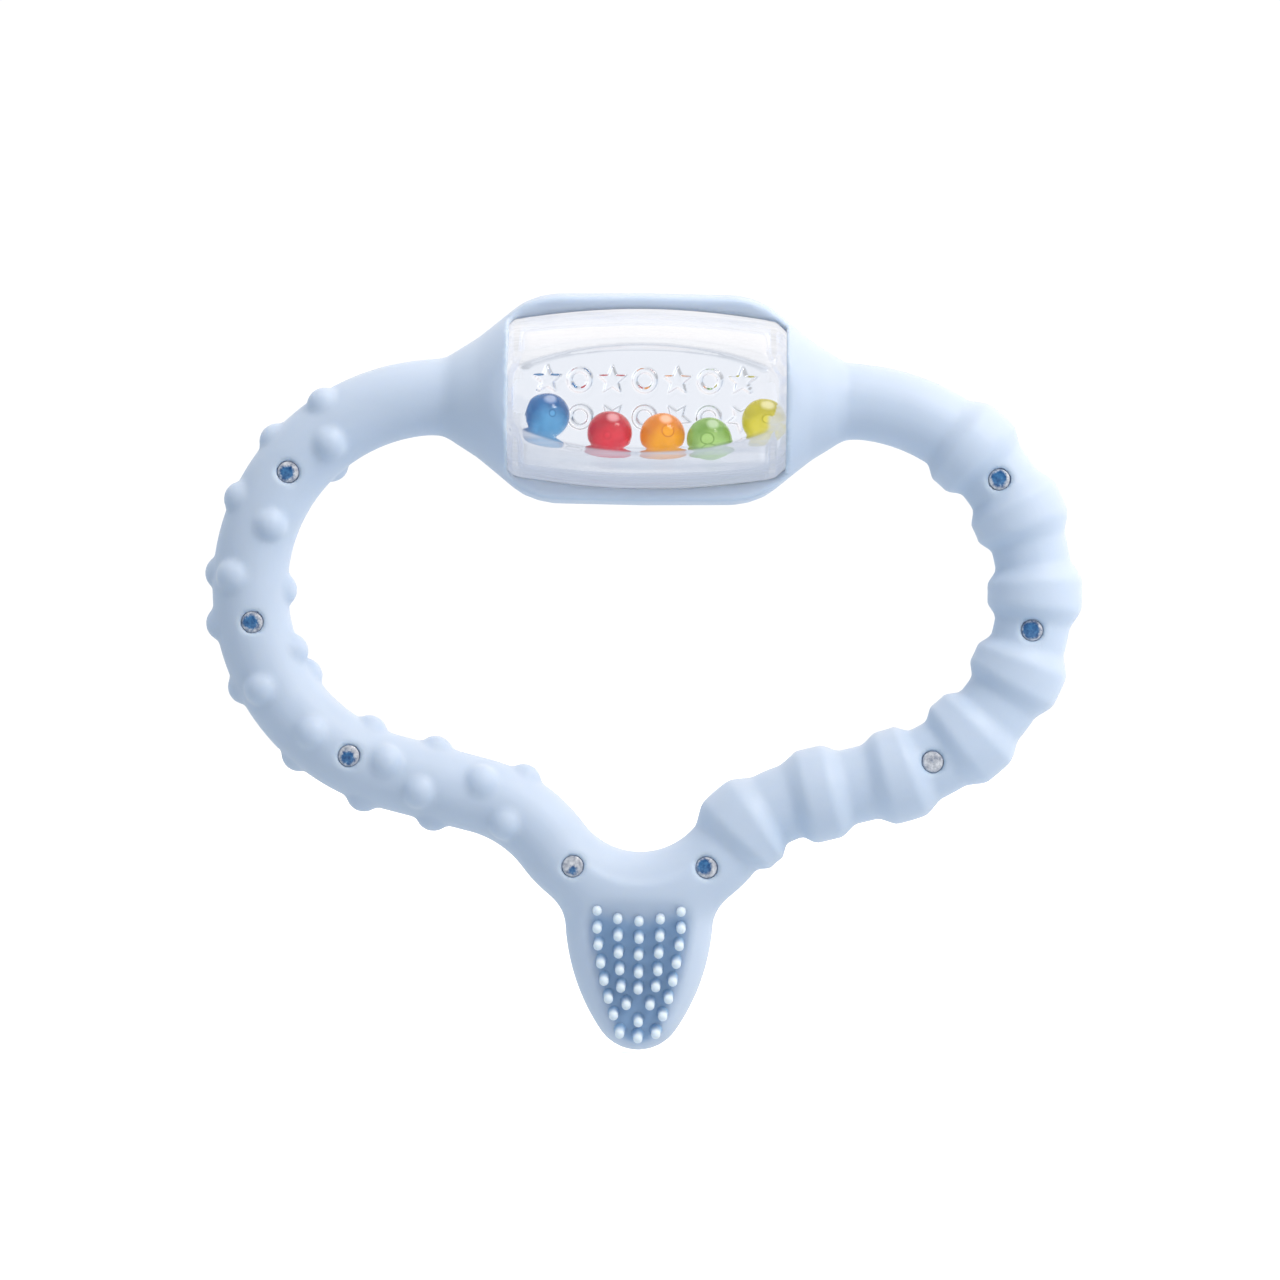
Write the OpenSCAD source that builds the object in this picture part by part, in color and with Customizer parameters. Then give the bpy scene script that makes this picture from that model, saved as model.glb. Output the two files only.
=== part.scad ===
// Teething ring: a soft silicone ring moulded over a clear core whose capsule holds five rattle beads.
// The ring stands in the XZ plane and faces -Y. X = 0 is its plane of symmetry and Z = 0 the brush tip.
// Places along the ring are given as a distance from the middle of the top bar and, where it matters,
// as an angle round the tube: 0 is the front, 90 the outer side, -90 the inner side and 180 the rear.

/* [Ring] */
// Height of the top bar's centre line above the brush tip
top_z = 84.6; // [82:0.1:88]
// Diameter of the soft tube
tube_d = 9.8; // [9.4:0.1:10.4]
// Half length of the straight top bar
bar_half = 26.2; // [25.8:0.1:28]
// Radius of the bend on each side
side_r = 24.8; // [24:0.1:26]
// Angle through which a side bend turns
side_turn = 166; // [164:0.5:168]
// Length of the straight run below a side bend
lower_run = 11.6; // [10:0.1:13]
// Radius of the reverse bend at the waist
waist_r = 17.4; // [16:0.1:19]
// Angle through which the waist bends back
waist_turn = 39; // [36:0.5:42]

/* [Core] */
// Diameter of the clear rod inside the tube
rod_d = 5.8; // [5:0.1:6.4]
// Gap between the silicone and the core it is moulded on
skin_gap = 0.04; // [0.02:0.01:0.1]
// Diameter of the clear bosses that show through the silicone
boss_d = 2.8; // [2.6:0.1:3.4]

/* [Capsule] */
// Diameter of the clear barrel at its middle
capsule_d = 24; // [23.6:0.1:24.4]
// Distance between the barrel's flat front and rear panels
capsule_depth = 19.6; // [19:0.1:20]
// Length of the barrel
capsule_w = 40; // [39:0.1:41]
// Thickness of the barrel's curved wall
wall = 1.8; // [1.6:0.1:2.2]
// Thickness of the flat panels
panel_wall = 2.4; // [2:0.1:2.6]
// Width of the openings in the silicone over the barrel
window_w = 36; // [34:0.1:36.4]
// Angle round the barrel that each opening spans
window_angle = 145; // [130:1:147]

/* [Housing] */
// Diameter of the silicone sleeve round the barrel
sleeve_d = 27.6; // [27:0.1:28.4]
// Half length of the sleeve, to where it meets the tube
sleeve_half = 26.4; // [26:0.1:27.5]
// Depth of the sleeve from its front to its rear
sleeve_depth = 20.4; // [20:0.1:21]

/* [Grips] */
// Number of soft ridges on the right side
ridge_count = 8; // [1:1:8]
// Height of a ridge above the tube
ridge_h = 1.25; // [0.6:0.05:1.5]
// Spacing of the ridges along the tube
ridge_pitch = 10.55; // [9:0.05:10.8]
// Distance along the ring to the first ridge
ridge_start = 44; // [42:0.5:45]
// Height of a nub above the tube
nub_h = 1.2; // [0.8:0.05:1.5]
// Radius of a nub's round top
nub_r = 2.3; // [2:0.05:2.6]

/* [Brush] */
// Half width of the brush tongue where it leaves the ring
tongue_half_w = 9.75; // [9:0.05:10.5]
// Height of the tongue's widest place above its tip
tongue_h = 18; // [16:0.5:20]
// Thickness of the tongue at its root
tongue_t = 9.2; // [8:0.1:9.6]
// Depth of the hollow that the bristles stand in
hollow_depth = 1.7; // [1:0.1:2.5]
// Diameter of a bristle
bristle_d = 1.2; // [1:0.05:1.4]
// Length of a bristle above the floor of the hollow
bristle_h = 2.6; // [1.5:0.1:3]

/* [Beads] */
// Diameter of a rattle bead
bead_d = 6; // [5:0.1:6]

/* [Hidden] */
$fn = 64;
eps = 0.01;
far = 60;

silicone_colour = [0.77, 0.84, 0.94];
clear_colour = [0.93, 0.95, 0.97, 0.35];

// ---- Centre line of the ring's right half, as [x, z] points and headings clockwise from +X ----

function arc_length(r, angle) = r * angle * PI / 180;
function outward(heading) = [sin(heading), cos(heading)];
function forward(heading) = [cos(heading), -sin(heading)];

bar_end = [bar_half, top_z];
side_centre = bar_end - side_r * outward(0);
side_end = side_centre + side_r * outward(side_turn);
waist_start = side_end + lower_run * forward(side_turn);
waist_centre = waist_start + waist_r * outward(side_turn);
bottom_heading = side_turn - waist_turn;
waist_end = waist_centre - waist_r * outward(bottom_heading);
// The last arc closes the ring smoothly on the plane of symmetry
bottom_r = waist_end.x / sin(bottom_heading);
bottom_centre = waist_end - bottom_r * outward(bottom_heading);

s_side = bar_half;
s_run = s_side + arc_length(side_r, side_turn);
s_waist = s_run + lower_run;
s_bottom = s_waist + arc_length(waist_r, waist_turn);

function turned(s, from, r) = (s - from) / r * 180 / PI;
function heading_at(s) =
    s < s_side ? 0 :
    s < s_run ? turned(s, s_side, side_r) :
    s < s_waist ? side_turn :
    s < s_bottom ? side_turn - turned(s, s_waist, waist_r) :
    bottom_heading + turned(s, s_bottom, bottom_r);
function point_at(s) =
    s < s_side ? [s, top_z] :
    s < s_run ? side_centre + side_r * outward(heading_at(s)) :
    s < s_waist ? side_end + (s - s_run) * forward(side_turn) :
    s < s_bottom ? waist_centre - waist_r * outward(heading_at(s)) :
    bottom_centre + bottom_r * outward(heading_at(s));

// Moves children to a place on the right half, with X along the ring and Z pointing outward
module on_ring(s) {
    p = point_at(s);
    translate([p.x, 0, p.y])
        rotate([0, heading_at(s), 0])
            children();
}

module both_sides() {
    children();
    mirror([1, 0, 0])
        children();
}

// Round bar of diameter d along an arc whose polar angles in the XZ plane start at start and span sweep.
// Here and in the straight runs a quarter turn keeps the surface's seam away from the plane Y = 0.
module bend(centre, r, start, sweep, d) {
    translate([centre.x, 0, centre.y])
        rotate([90, 0, 0])
            rotate(start)
                rotate_extrude(angle = sweep)
                    translate([r, 0])
                        rotate(90)
                            circle(d = d);
}

joint_w = 0.8;
joint_step = 0.1;

// Thin collar over the place where two runs of the bar meet, so that they join as one solid
module bar_joint(s, d) {
    on_ring(s)
        rotate([0, 90, 0])
            rotate(90)
                cylinder(h = joint_w, d = d + joint_step, center = true);
}

// Round bar of diameter d along the whole ring
module ring_bar(d) {
    translate([-bar_half, 0, top_z])
        rotate([0, 90, 0])
            rotate(90)
                cylinder(h = 2 * bar_half, d = d);
    both_sides() {
        bend(side_centre, side_r, 90 - side_turn, side_turn, d);
        translate([side_end.x, 0, side_end.y])
            rotate([0, 90 + side_turn, 0])
                rotate(90)
                    cylinder(h = lower_run, d = d);
        bend(waist_centre, waist_r, 270 - side_turn, waist_turn, d);
        for (s = [s_side, s_run, s_waist, s_bottom])
            bar_joint(s, d);
    }
    bend(bottom_centre, bottom_r, bottom_heading + 90, 360 - 2 * bottom_heading, d);
}

// ---- Clear core ----

end_wall = 1.2;
capsule_end_r = 7.4;
capsule_shoulder_r = 10.4;
capsule_corner = 4.8;
cavity_end_r = 6;
cavity_shoulder_r = 9;
cavity_corner = 3.6;

// Radius of the arc that falls by drop over a half length
function arc_radius(half, drop) = (half * half + drop * drop) / (2 * drop);

// Turns children, drawn with radius along X and length along Y, about the top bar's axis
module about_bar(angle = 360, start = 90) {
    translate([0, 0, top_z])
        rotate([0, 90, 0])
            rotate(start)
                rotate_extrude(angle = angle, $fn = 128)
                    children();
}

// Half outline of a barrel: an arc along its length, cut by a 45 degree shoulder at each end
module barrel_outline(mid_r, shoulder_r, end_r, half) {
    shoulder = half - (shoulder_r - end_r);
    curve_r = arc_radius(shoulder, mid_r - shoulder_r);
    run = mid_r - end_r;
    intersection() {
        translate([mid_r - curve_r, 0])
            circle(curve_r, $fn = 720);
        polygon([[0, -half], [end_r, -half], [mid_r + eps, run - half],
                 [mid_r + eps, half - run], [end_r, half], [0, half]]);
    }
}

module rounded_box(w, depth, h, corner) {
    linear_extrude(h, center = true) {
        square([w - 2 * corner, depth], center = true);
        square([w, depth - 2 * corner], center = true);
        for (x = [-1, 1], y = [-1, 1])
            translate([x * (w / 2 - corner), y * (depth / 2 - corner)])
                circle(corner);
    }
}

// Barrel with flat front and rear panels and rounded ends
module flattened_barrel(mid_r, shoulder_r, end_r, half, depth, corner) {
    intersection() {
        about_bar()
            barrel_outline(mid_r, shoulder_r, end_r, half);
        translate([0, 0, top_z])
            rounded_box(2 * half, depth, 3 * mid_r, corner);
    }
}

// Outside of the capsule, grown by gap
module capsule_outside(gap = 0) {
    flattened_barrel(capsule_d / 2 + gap, capsule_shoulder_r + gap, capsule_end_r + gap,
                     capsule_w / 2 + gap, capsule_depth + 2 * gap, capsule_corner);
}

// Space in which the beads rattle
module cavity() {
    flattened_barrel(capsule_d / 2 - wall, cavity_shoulder_r, cavity_end_r,
                     capsule_w / 2 - end_wall, capsule_depth - 2 * panel_wall, cavity_corner);
}

// Everything the silicone is moulded round, grown by gap
module core_envelope(gap) {
    ring_bar(rod_d + 2 * gap);
    capsule_outside(gap);
}

// Places of the bosses along each side of the ring
boss_places = [49.3, 69.9, 92, 125.2];
boss_recess = 0.2;

// Round bosses that held the rod in the middle of the mould and end just under the silicone's surface
module bosses() {
    both_sides()
        for (s = boss_places)
            on_ring(s)
                rotate([90, 0, 0])
                    cylinder(h = tube_d - 2 * boss_recess, d = boss_d, center = true);
}

charm_count = 7;
charm_pitch = 4.2;
charm_r = 1.9;
charm_h = 0.35;
charm_raise = 2.2;
hoop_r = 1.6;
hoop_w = 0.6;

module star(r) {
    points = 5;
    inner = 0.45;
    step = 180 / points;
    polygon([for (i = [0 : 2 * points - 1])
        (i % 2 == 0 ? r : r * inner) * [sin(i * step), cos(i * step)]]);
}

module hoop() {
    difference() {
        circle(hoop_r);
        circle(hoop_r - hoop_w);
    }
}

// Row of stars and hoops that stands slightly proud of the front panel
module charm_row() {
    for (i = [0 : charm_count - 1])
        translate([(i - (charm_count - 1) / 2) * charm_pitch, -capsule_depth / 2, top_z + charm_raise])
            rotate([90, 0, 0])
                linear_extrude(2 * charm_h, center = true)
                    if (i % 2 == 0)
                        star(charm_r);
                    else
                        hoop();
}

// The core as one solid: rod with bosses, hollow barrel and the charms on both panels
module core_solid() {
    difference() {
        union() {
            ring_bar(rod_d);
            bosses();
            capsule_outside();
            charm_row();
            translate([0, 0, 2 * top_z])
                rotate([180, 0, 0])
                    charm_row();
        }
        cavity();
    }
}

// side is -1 for the front half and 1 for the rear half, parted on the plane Y = 0
module core_half(side) {
    color(clear_colour)
        intersection() {
            core_solid();
            translate([-far, side < 0 ? -far : 0, -far])
                cube([2 * far, far, 3 * far]);
        }
}

module core_front_half() {
    core_half(-1);
}

module core_rear_half() {
    core_half(1);
}

// ---- Silicone ----

sleeve_r = sleeve_d / 2;
shoulder_round = 4;
sleeve_shoulder = 15.6;
sleeve_foot = 0.3;
// Radius and distance from the middle of the corners of the steps between the shoulder and the tube
sleeve_steps = [[10.1, 18.9], [8.6, 20.3], [6.9, 22.6]];

// Half outline of the sleeve: a straight barrel, a round shoulder and two soft steps down to the tube
module sleeve_outline() {
    shoulder = [for (a = [0 : 15 : 45])
        [sleeve_r - shoulder_round * (1 - cos(a)), sleeve_shoulder - shoulder_round * (sin(45) - sin(a))]];
    right = concat(shoulder, sleeve_steps, [[tube_d / 2 - sleeve_foot, sleeve_half]]);
    left = [for (i = [len(right) - 1 : -1 : 0]) [right[i].x, -right[i].y]];
    polygon(concat([[0, -sleeve_half]], left, right, [[0, sleeve_half]]));
}

// Silicone sleeve, flattened at the front and the rear
module sleeve() {
    intersection() {
        about_bar()
            sleeve_outline();
        translate([0, 0, top_z])
            cube([2 * far, sleeve_depth, 2 * sleeve_d], center = true);
    }
}

// Openings over the front and rear of the barrel
module windows() {
    for (side = [0, 180])
        about_bar(window_angle, 90 - window_angle / 2 + side)
            translate([0, -window_w / 2])
                square([capsule_d, window_w]);
}

ridge_top = 3.2;
ridge_base = 8;
ridge_foot = 0.4;

// Soft ridges round the right side
module ridges() {
    r = tube_d / 2;
    for (i = [0 : ridge_count - 1])
        on_ring(ridge_start + i * ridge_pitch)
            rotate([0, 90, 0])
                rotate_extrude()
                    polygon([[0, -ridge_base / 2], [r - ridge_foot, -ridge_base / 2],
                             [r + ridge_h, -ridge_top / 2], [r + ridge_h, ridge_top / 2],
                             [r - ridge_foot, ridge_base / 2], [0, ridge_base / 2]]);
}

// Nubs scattered over the left side, each as a distance along the ring and an angle round the tube
edge_nubs = [[40.5, 60], [47.3, 90], [55, 68], [63.7, 106], [69.4, 90], [77, 104], [86.8, 108], [95.5, 90],
             [104.5, 90], [44.5, -122], [65.7, -90], [75.3, -74], [79.6, -100], [93, -90], [102.8, -92],
             [113.9, -90]];
face_nubs = [[42.7, -16], [56.6, -17], [64, 32], [78.1, 28], [86.4, 5], [96.8, -17], [102, 21], [109.5, -26],
             [114.5, 30]];

module nub(s, angle) {
    on_ring(s)
        rotate([90 - angle, 0, 0])
            translate([0, 0, tube_d / 2 + nub_h - nub_r])
                sphere(nub_r);
}

// The rear face repeats the front one
module nubs() {
    mirror([1, 0, 0]) {
        for (n = edge_nubs)
            nub(n[0], n[1]);
        for (n = face_nubs) {
            nub(n[0], n[1]);
            nub(n[0], 180 - n[1]);
        }
    }
}

module boss_holes() {
    both_sides()
        for (s = boss_places)
            on_ring(s)
                rotate([90, 0, 0])
                    cylinder(h = 2 * tube_d, d = boss_d + 2 * skin_gap, center = true);
}

tongue_tip_r = 6;
tongue_edge_t = 6.4;
tongue_tip_t = 7.4;
hollow_half_w = 6.3;
hollow_tip_z = 0.9;
hollow_tip_r = 3;

// Radius of the side arc of an oval that is half_w wide, h high and has a round end of tip_r
function oval_side_r(half_w, h, tip_r) =
    (pow(h - tip_r, 2) + half_w * half_w - tip_r * tip_r) / (2 * (half_w - tip_r));

// Half width of that oval at a height above its tip
function oval_half_width(half_w, h, tip_r, height) =
    let (side_r = oval_side_r(half_w, h, tip_r), swing = atan2(h - tip_r, side_r - half_w))
    height < tip_r - tip_r * sin(swing) ?
        sqrt(max(0, tip_r * tip_r - pow(tip_r - height, 2))) :
        half_w - side_r + sqrt(side_r * side_r - pow(max(0, h - height), 2));

// U shape with its tip at tip_z: two long side arcs that run into a round end, open at the top
module oval_end(half_w, h, tip_r, tip_z, top) {
    side_r = oval_side_r(half_w, h, tip_r);
    swing = atan2(h - tip_r, side_r - half_w);
    side_steps = 8;
    tip_steps = 6;
    side_arc = [for (i = [0 : side_steps]) let (a = swing * i / side_steps)
        [half_w - side_r + side_r * cos(a), tip_z + h - side_r * sin(a)]];
    tip_arc = [for (i = [1 : tip_steps]) let (a = swing + (90 - swing) * i / tip_steps)
        [tip_r * cos(a), tip_z + tip_r - tip_r * sin(a)]];
    right = concat([[half_w, top]], side_arc, tip_arc);
    left = [for (i = [len(right) - 2 : -1 : 0]) [-right[i].x, right[i].y]];
    polygon(concat(right, left));
}

// Upright cylinder whose surface is one face of the tongue, curved across its width
module face_curve(side, r) {
    translate([0, side * (r - tongue_t / 2), 0])
        cylinder(h = far, r = r, $fn = 256);
}

// Level cylinder that thins that face towards the tip
module face_taper(side, r) {
    translate([0, side * (r - tongue_t / 2), bottom_centre.y - bottom_r])
        rotate([0, 90, 0])
            cylinder(h = far, r = r, center = true, $fn = 720);
}

// Body of the brush: thickest along its middle and thinner towards the edges and the tip
module tongue_body() {
    edge_r = arc_radius(tongue_half_w, (tongue_t - tongue_edge_t) / 2);
    taper_r = arc_radius(bottom_centre.y - bottom_r, (tongue_t - tongue_tip_t) / 2);
    difference() {
        intersection() {
            rotate([90, 0, 0])
                linear_extrude(2 * tongue_t, center = true)
                    oval_end(tongue_half_w, tongue_h, tongue_tip_r, 0, bottom_centre.y - tongue_t);
            face_curve(-1, edge_r);
            face_curve(1, edge_r);
            face_taper(-1, taper_r);
            face_taper(1, taper_r);
        }
        // The tongue grows out of the ring's centre line
        translate([0, 0, bottom_centre.y])
            rotate([90, 0, 0])
                cylinder(h = 2 * tongue_t, r = bottom_r, center = true, $fn = 128);
    }
}

module tongue() {
    floor_y = hollow_depth - tongue_t / 2;
    difference() {
        tongue_body();
        translate([0, floor_y, 0])
            rotate([90, 0, 0])
                linear_extrude(tongue_t)
                    oval_end(hollow_half_w, tongue_h, hollow_tip_r, hollow_tip_z, bottom_centre.y - tongue_t);
    }
}

bristle_rows = 8;
bristle_top_z = 18.6;
bristle_pitch = 2.27;
bristle_half_w = 5.5;
bristle_tip_z = 0.8;
bristle_tip_r = 2.3;
bristle_row_sag = 0.25;
bristle_lean = 14;

// Columns of a bristle row, as shares of the row's half width
function bristle_columns(row) =
    row < 5 ? [-1, -0.5, 0, 0.5, 1] :
    row == 5 ? [-1, -0.4, 0.4, 1] :
    [-1, 0, 1];

// Bristles in rows that dip in the middle and draw in towards the tip
module bristles() {
    floor_y = hollow_depth - tongue_t / 2;
    shaft = bristle_h - bristle_d / 2;
    root = 0.5;
    for (row = [0 : bristle_rows - 1]) {
        z = bristle_top_z - row * bristle_pitch;
        half = oval_half_width(bristle_half_w, tongue_h, bristle_tip_r, z - bristle_tip_z);
        for (share = bristle_columns(row))
            translate([share * half, floor_y, z - bristle_row_sag * half * (1 - share * share)])
                rotate([90 + bristle_lean, 0, 0])
                    translate([0, 0, -root]) {
                        cylinder(h = shaft + root, d = bristle_d, $fn = 24);
                        translate([0, 0, shaft + root])
                            sphere(d = bristle_d, $fn = 24);
                    }
    }
}

module silicone_ring() {
    color(silicone_colour)
        difference() {
            union() {
                ring_bar(tube_d);
                sleeve();
                ridges();
                nubs();
                tongue();
                bristles();
            }
            core_envelope(skin_gap);
            windows();
            boss_holes();
        }
}

// ---- Beads, lying on the inside of the rear panel ----

bead_back = 4.3;
green_back = 3.5;
yellow_back = 3.8;

// Bead at x along the bar, y behind the middle plane and drop below the bar's axis
module bead(x, y, drop) {
    translate([x, y, top_z - drop])
        sphere(d = bead_d);
}

module bead_blue() {
    color([0.18, 0.47, 0.74])
        bead(-12.7, bead_back, 2.2);
}

module bead_red() {
    color([0.82, 0.16, 0.22])
        bead(-4.5, bead_back, 4.4);
}

module bead_orange() {
    color([0.95, 0.6, 0.05])
        bead(2.4, bead_back, 4.6);
}

module bead_green() {
    color([0.56, 0.78, 0.36])
        bead(8.5, green_back, 5.2);
}

module bead_yellow() {
    color([0.87, 0.82, 0.22])
        bead(15.6, yellow_back, 2.6);
}

silicone_ring();
core_front_half();
core_rear_half();
bead_blue();
bead_red();
bead_orange();
bead_green();
bead_yellow();
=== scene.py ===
import math

import bpy
import numpy as np
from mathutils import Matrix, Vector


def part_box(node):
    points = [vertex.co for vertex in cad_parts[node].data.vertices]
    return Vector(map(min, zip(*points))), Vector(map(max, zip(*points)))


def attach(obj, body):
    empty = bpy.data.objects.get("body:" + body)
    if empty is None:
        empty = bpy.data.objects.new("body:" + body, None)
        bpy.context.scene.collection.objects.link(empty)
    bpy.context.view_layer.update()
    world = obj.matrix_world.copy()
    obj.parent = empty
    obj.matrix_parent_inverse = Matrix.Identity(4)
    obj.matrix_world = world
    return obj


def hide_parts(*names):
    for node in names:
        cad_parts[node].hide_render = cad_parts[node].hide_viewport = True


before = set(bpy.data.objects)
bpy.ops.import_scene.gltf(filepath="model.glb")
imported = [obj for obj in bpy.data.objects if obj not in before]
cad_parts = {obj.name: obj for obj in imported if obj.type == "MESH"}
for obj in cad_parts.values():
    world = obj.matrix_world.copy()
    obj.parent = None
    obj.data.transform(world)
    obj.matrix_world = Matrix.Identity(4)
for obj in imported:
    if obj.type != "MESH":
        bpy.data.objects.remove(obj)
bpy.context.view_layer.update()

import openvdb
from mathutils import Matrix, Vector

# Shapes are worked out in millimetres in the CAD frame: X along the top bar, -Y to the front, Z up,
# with X = 0 on the plane of symmetry and Z = 0 at the brush tip. Meshes are stored in metres.
MM = 0.001

# ---- Driving dimensions, the same as in the CAD source where it has them too ----

# Ring: a straight bar on top, then on each side an arc, a straight run, a waist that bends the other way,
# and a round bottom over the tongue. TURN is the angle an arc bends through.
TOP_Z = 84.6
TUBE_R = 4.9
BAR_HALF = 26.2
SIDE_R = 24.8
SIDE_TURN = math.radians(166)
LOWER_RUN = 11.6
WAIST_R = 17.4
WAIST_TURN = math.radians(39)

# Clear rod inside the tube, and the bosses that stand on it, placed by distance along the ring
ROD_R = 2.9
SKIN_GAP = 0.04
BOSS_R = 1.4
BOSS_RECESS = 0.2
BOSS_PLACES = (49.3, 69.9, 92, 125.2)
# Painted dark blue drop in each boss, standing for the silicone seen through it, in the order of
# BOSS_PLACES,
# on the left and on the right: its size (0 none, 1 the whole face) and how far right and up it lies
BOSS_DROPS = {-1: ((0.85, -0.1, -0.1), (0.9, -0.15, 0), (0.8, -0.1, -0.2), (0.5, 0, -0.4)),
              1: ((0.95, -0.05, 0.1), (1, -0.1, 0), (0, 0, 0), (0.85, -0.25, 0.1))}

# Ridges round the right side
RIDGE_COUNT = 8
RIDGE_START = 44
RIDGE_PITCH = 10.55
RIDGE_H = 1.25
RIDGE_TOP_HALF = 1.3
RIDGE_BASE_HALF = 4.1

# Nubs on the left side
NUB_H = 1.2
NUB_R = 2.3
# Distance along the ring and angle round the tube: 0 front, 90 outer side, -90 inner side
EDGE_NUBS = ((40.5, 60), (47.3, 90), (55, 68), (63.7, 106), (69.4, 90), (77, 104), (86.8, 108),
             (95.5, 90), (104.5, 90), (44.5, -122), (65.7, -90), (75.3, -74), (79.6, -100), (93, -90),
             (102.8, -92), (113.9, -90))
FACE_NUBS = ((42.7, -16), (56.6, -17), (64, 32), (78.1, 28), (86.4, 5), (96.8, -17), (102, 21), (109.5, -26),
             (114.5, 30))

# Silicone sleeve: radius at distances from the middle of the capsule
SLEEVE_PROFILE = ((0, 13.8), (11.6, 13.65), (13.6, 13.3), (15.6, 12.55), (17, 11.6), (19, 9.95),
                  (21.6, 7.85), (22.6, 7.2), (24.2, 6.2), (26.4, 4.75), (30, 4))
SLEEVE_DEPTH_HALF = 10.2
WINDOW_HALF_ANGLE = math.radians(72.5)
WINDOW_LEFT = -17.6
WINDOW_RIGHT = 18.3

# Capsule of the clear core, and the cavity inside it
CAPSULE_HALF = 20
CAPSULE_R = 12
CAPSULE_SHOULDER_R = 10.4
CAPSULE_END_R = 7.4
CAPSULE_DEPTH_HALF = 9.8
CAPSULE_CORNER = 4.8
CAVITY_HALF = 18.8
CAVITY_R = 10.2
CAVITY_SHOULDER_R = 9
CAVITY_END_R = 6
CAVITY_DEPTH_HALF = 7.4
CAVITY_CORNER = 3.6

# Brush tongue, and the shallow dish in its front
TONGUE_HALF_W = 9.75
TONGUE_H = 18
TONGUE_TIP_R = 6
TONGUE_T = 9.2
TONGUE_EDGE_T = 6.4
TONGUE_TIP_T = 7.4
HOLLOW_HALF_W = 6.3
HOLLOW_TIP_Z = 0.9
HOLLOW_TIP_R = 3
HOLLOW_DEPTH = 1.7
HOLLOW_RISE = 1.2
HOLLOW_FLOOR_Y = HOLLOW_DEPTH - TONGUE_T / 2

# Bristles, in rows that sag towards the middle
BRISTLE_ROWS = 8
BRISTLE_TOP_Z = 18.6
BRISTLE_PITCH = 2.27
BRISTLE_HALF_W = 5.5
BRISTLE_TIP_Z = 0.8
BRISTLE_TIP_R = 2.3
BRISTLE_SAG = 0.25
BRISTLE_LEAN = math.radians(14)
BRISTLE_R = 0.6
BRISTLE_H = 2.6

# Widths of the fillets and rounded edges of the silicone, and of the clear core's own
NUB_FILLET = 0.55
SLEEVE_FILLET = 0.8
SLEEVE_EDGE_SOFT = 1.6
SLEEVE_SMOOTHING = 0.5
TONGUE_FILLET = 2.2
TONGUE_EDGE_SOFT = 4.5
HOLLOW_LIP = 1.4
HOLLOW_CORNER = 2
HOLLOW_FILLET = 1.2
CORE_LIP = 0.1
BOSS_LIP = 0.45
WINDOW_LIP = 0.6
WINDOW_LEFT_CORNER = 1.6
WINDOW_RIGHT_CORNER = 0.5
CAPSULE_SOFT = 0.15
CAVITY_SOFT = 0.3

# Row of stars and hoops in relief on each panel
CHARM_COUNT = 7
CHARM_PITCH = 4.2
CHARM_R = 1.9
CHARM_H = 0.35
CHARM_RAISE = 2.2
HOOP_R = 1.6
HOOP_W = 0.6


# ---- Helpers for distance fields ----

def ramp(value, low, high):
    """0 below low, 1 above high and a smooth step between."""
    t = np.clip((value - low) / (high - low), 0, 1)
    return t * t * (3 - 2 * t)


def soft_min(a, b, k):
    """Smaller of two distances, with a fillet about k wide where they are close."""
    h = np.maximum(k - np.abs(a - b), 0) / k
    return np.minimum(a, b) - h * h * k / 4


def soft_max(a, b, k):
    return -soft_min(-a, -b, k)


# ---- Centre line of the ring's right half ----

def outward(heading):
    return np.array([math.sin(heading), math.cos(heading)])


def forward(heading):
    return np.array([math.cos(heading), -math.sin(heading)])


BAR_END = np.array([BAR_HALF, TOP_Z])
SIDE_CENTRE = BAR_END - SIDE_R * outward(0)
SIDE_END = SIDE_CENTRE + SIDE_R * outward(SIDE_TURN)
WAIST_START = SIDE_END + LOWER_RUN * forward(SIDE_TURN)
WAIST_CENTRE = WAIST_START + WAIST_R * outward(SIDE_TURN)
BOTTOM_HEADING = SIDE_TURN - WAIST_TURN
WAIST_END = WAIST_CENTRE - WAIST_R * outward(BOTTOM_HEADING)
BOTTOM_R = WAIST_END[0] / math.sin(BOTTOM_HEADING)
BOTTOM_CENTRE = WAIST_END - BOTTOM_R * outward(BOTTOM_HEADING)

S_SIDE = BAR_HALF
S_RUN = S_SIDE + SIDE_R * SIDE_TURN
S_WAIST = S_RUN + LOWER_RUN
S_BOTTOM = S_WAIST + WAIST_R * WAIST_TURN
S_END = S_BOTTOM + BOTTOM_R * (math.pi - BOTTOM_HEADING)


def heading_at(s):
    if s < S_SIDE:
        return 0.0
    if s < S_RUN:
        return (s - S_SIDE) / SIDE_R
    if s < S_WAIST:
        return SIDE_TURN
    if s < S_BOTTOM:
        return SIDE_TURN - (s - S_WAIST) / WAIST_R
    return BOTTOM_HEADING + (s - S_BOTTOM) / BOTTOM_R


def point_at(s):
    """Point (x, z) of the centre line at distance s from the middle of the bar."""
    heading = heading_at(s)
    if s < S_SIDE:
        return np.array([s, TOP_Z])
    if s < S_RUN:
        return SIDE_CENTRE + SIDE_R * outward(heading)
    if s < S_WAIST:
        return SIDE_END + (s - S_RUN) * forward(heading)
    if s < S_BOTTOM:
        return WAIST_CENTRE - WAIST_R * outward(heading)
    return BOTTOM_CENTRE + BOTTOM_R * outward(heading)


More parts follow.
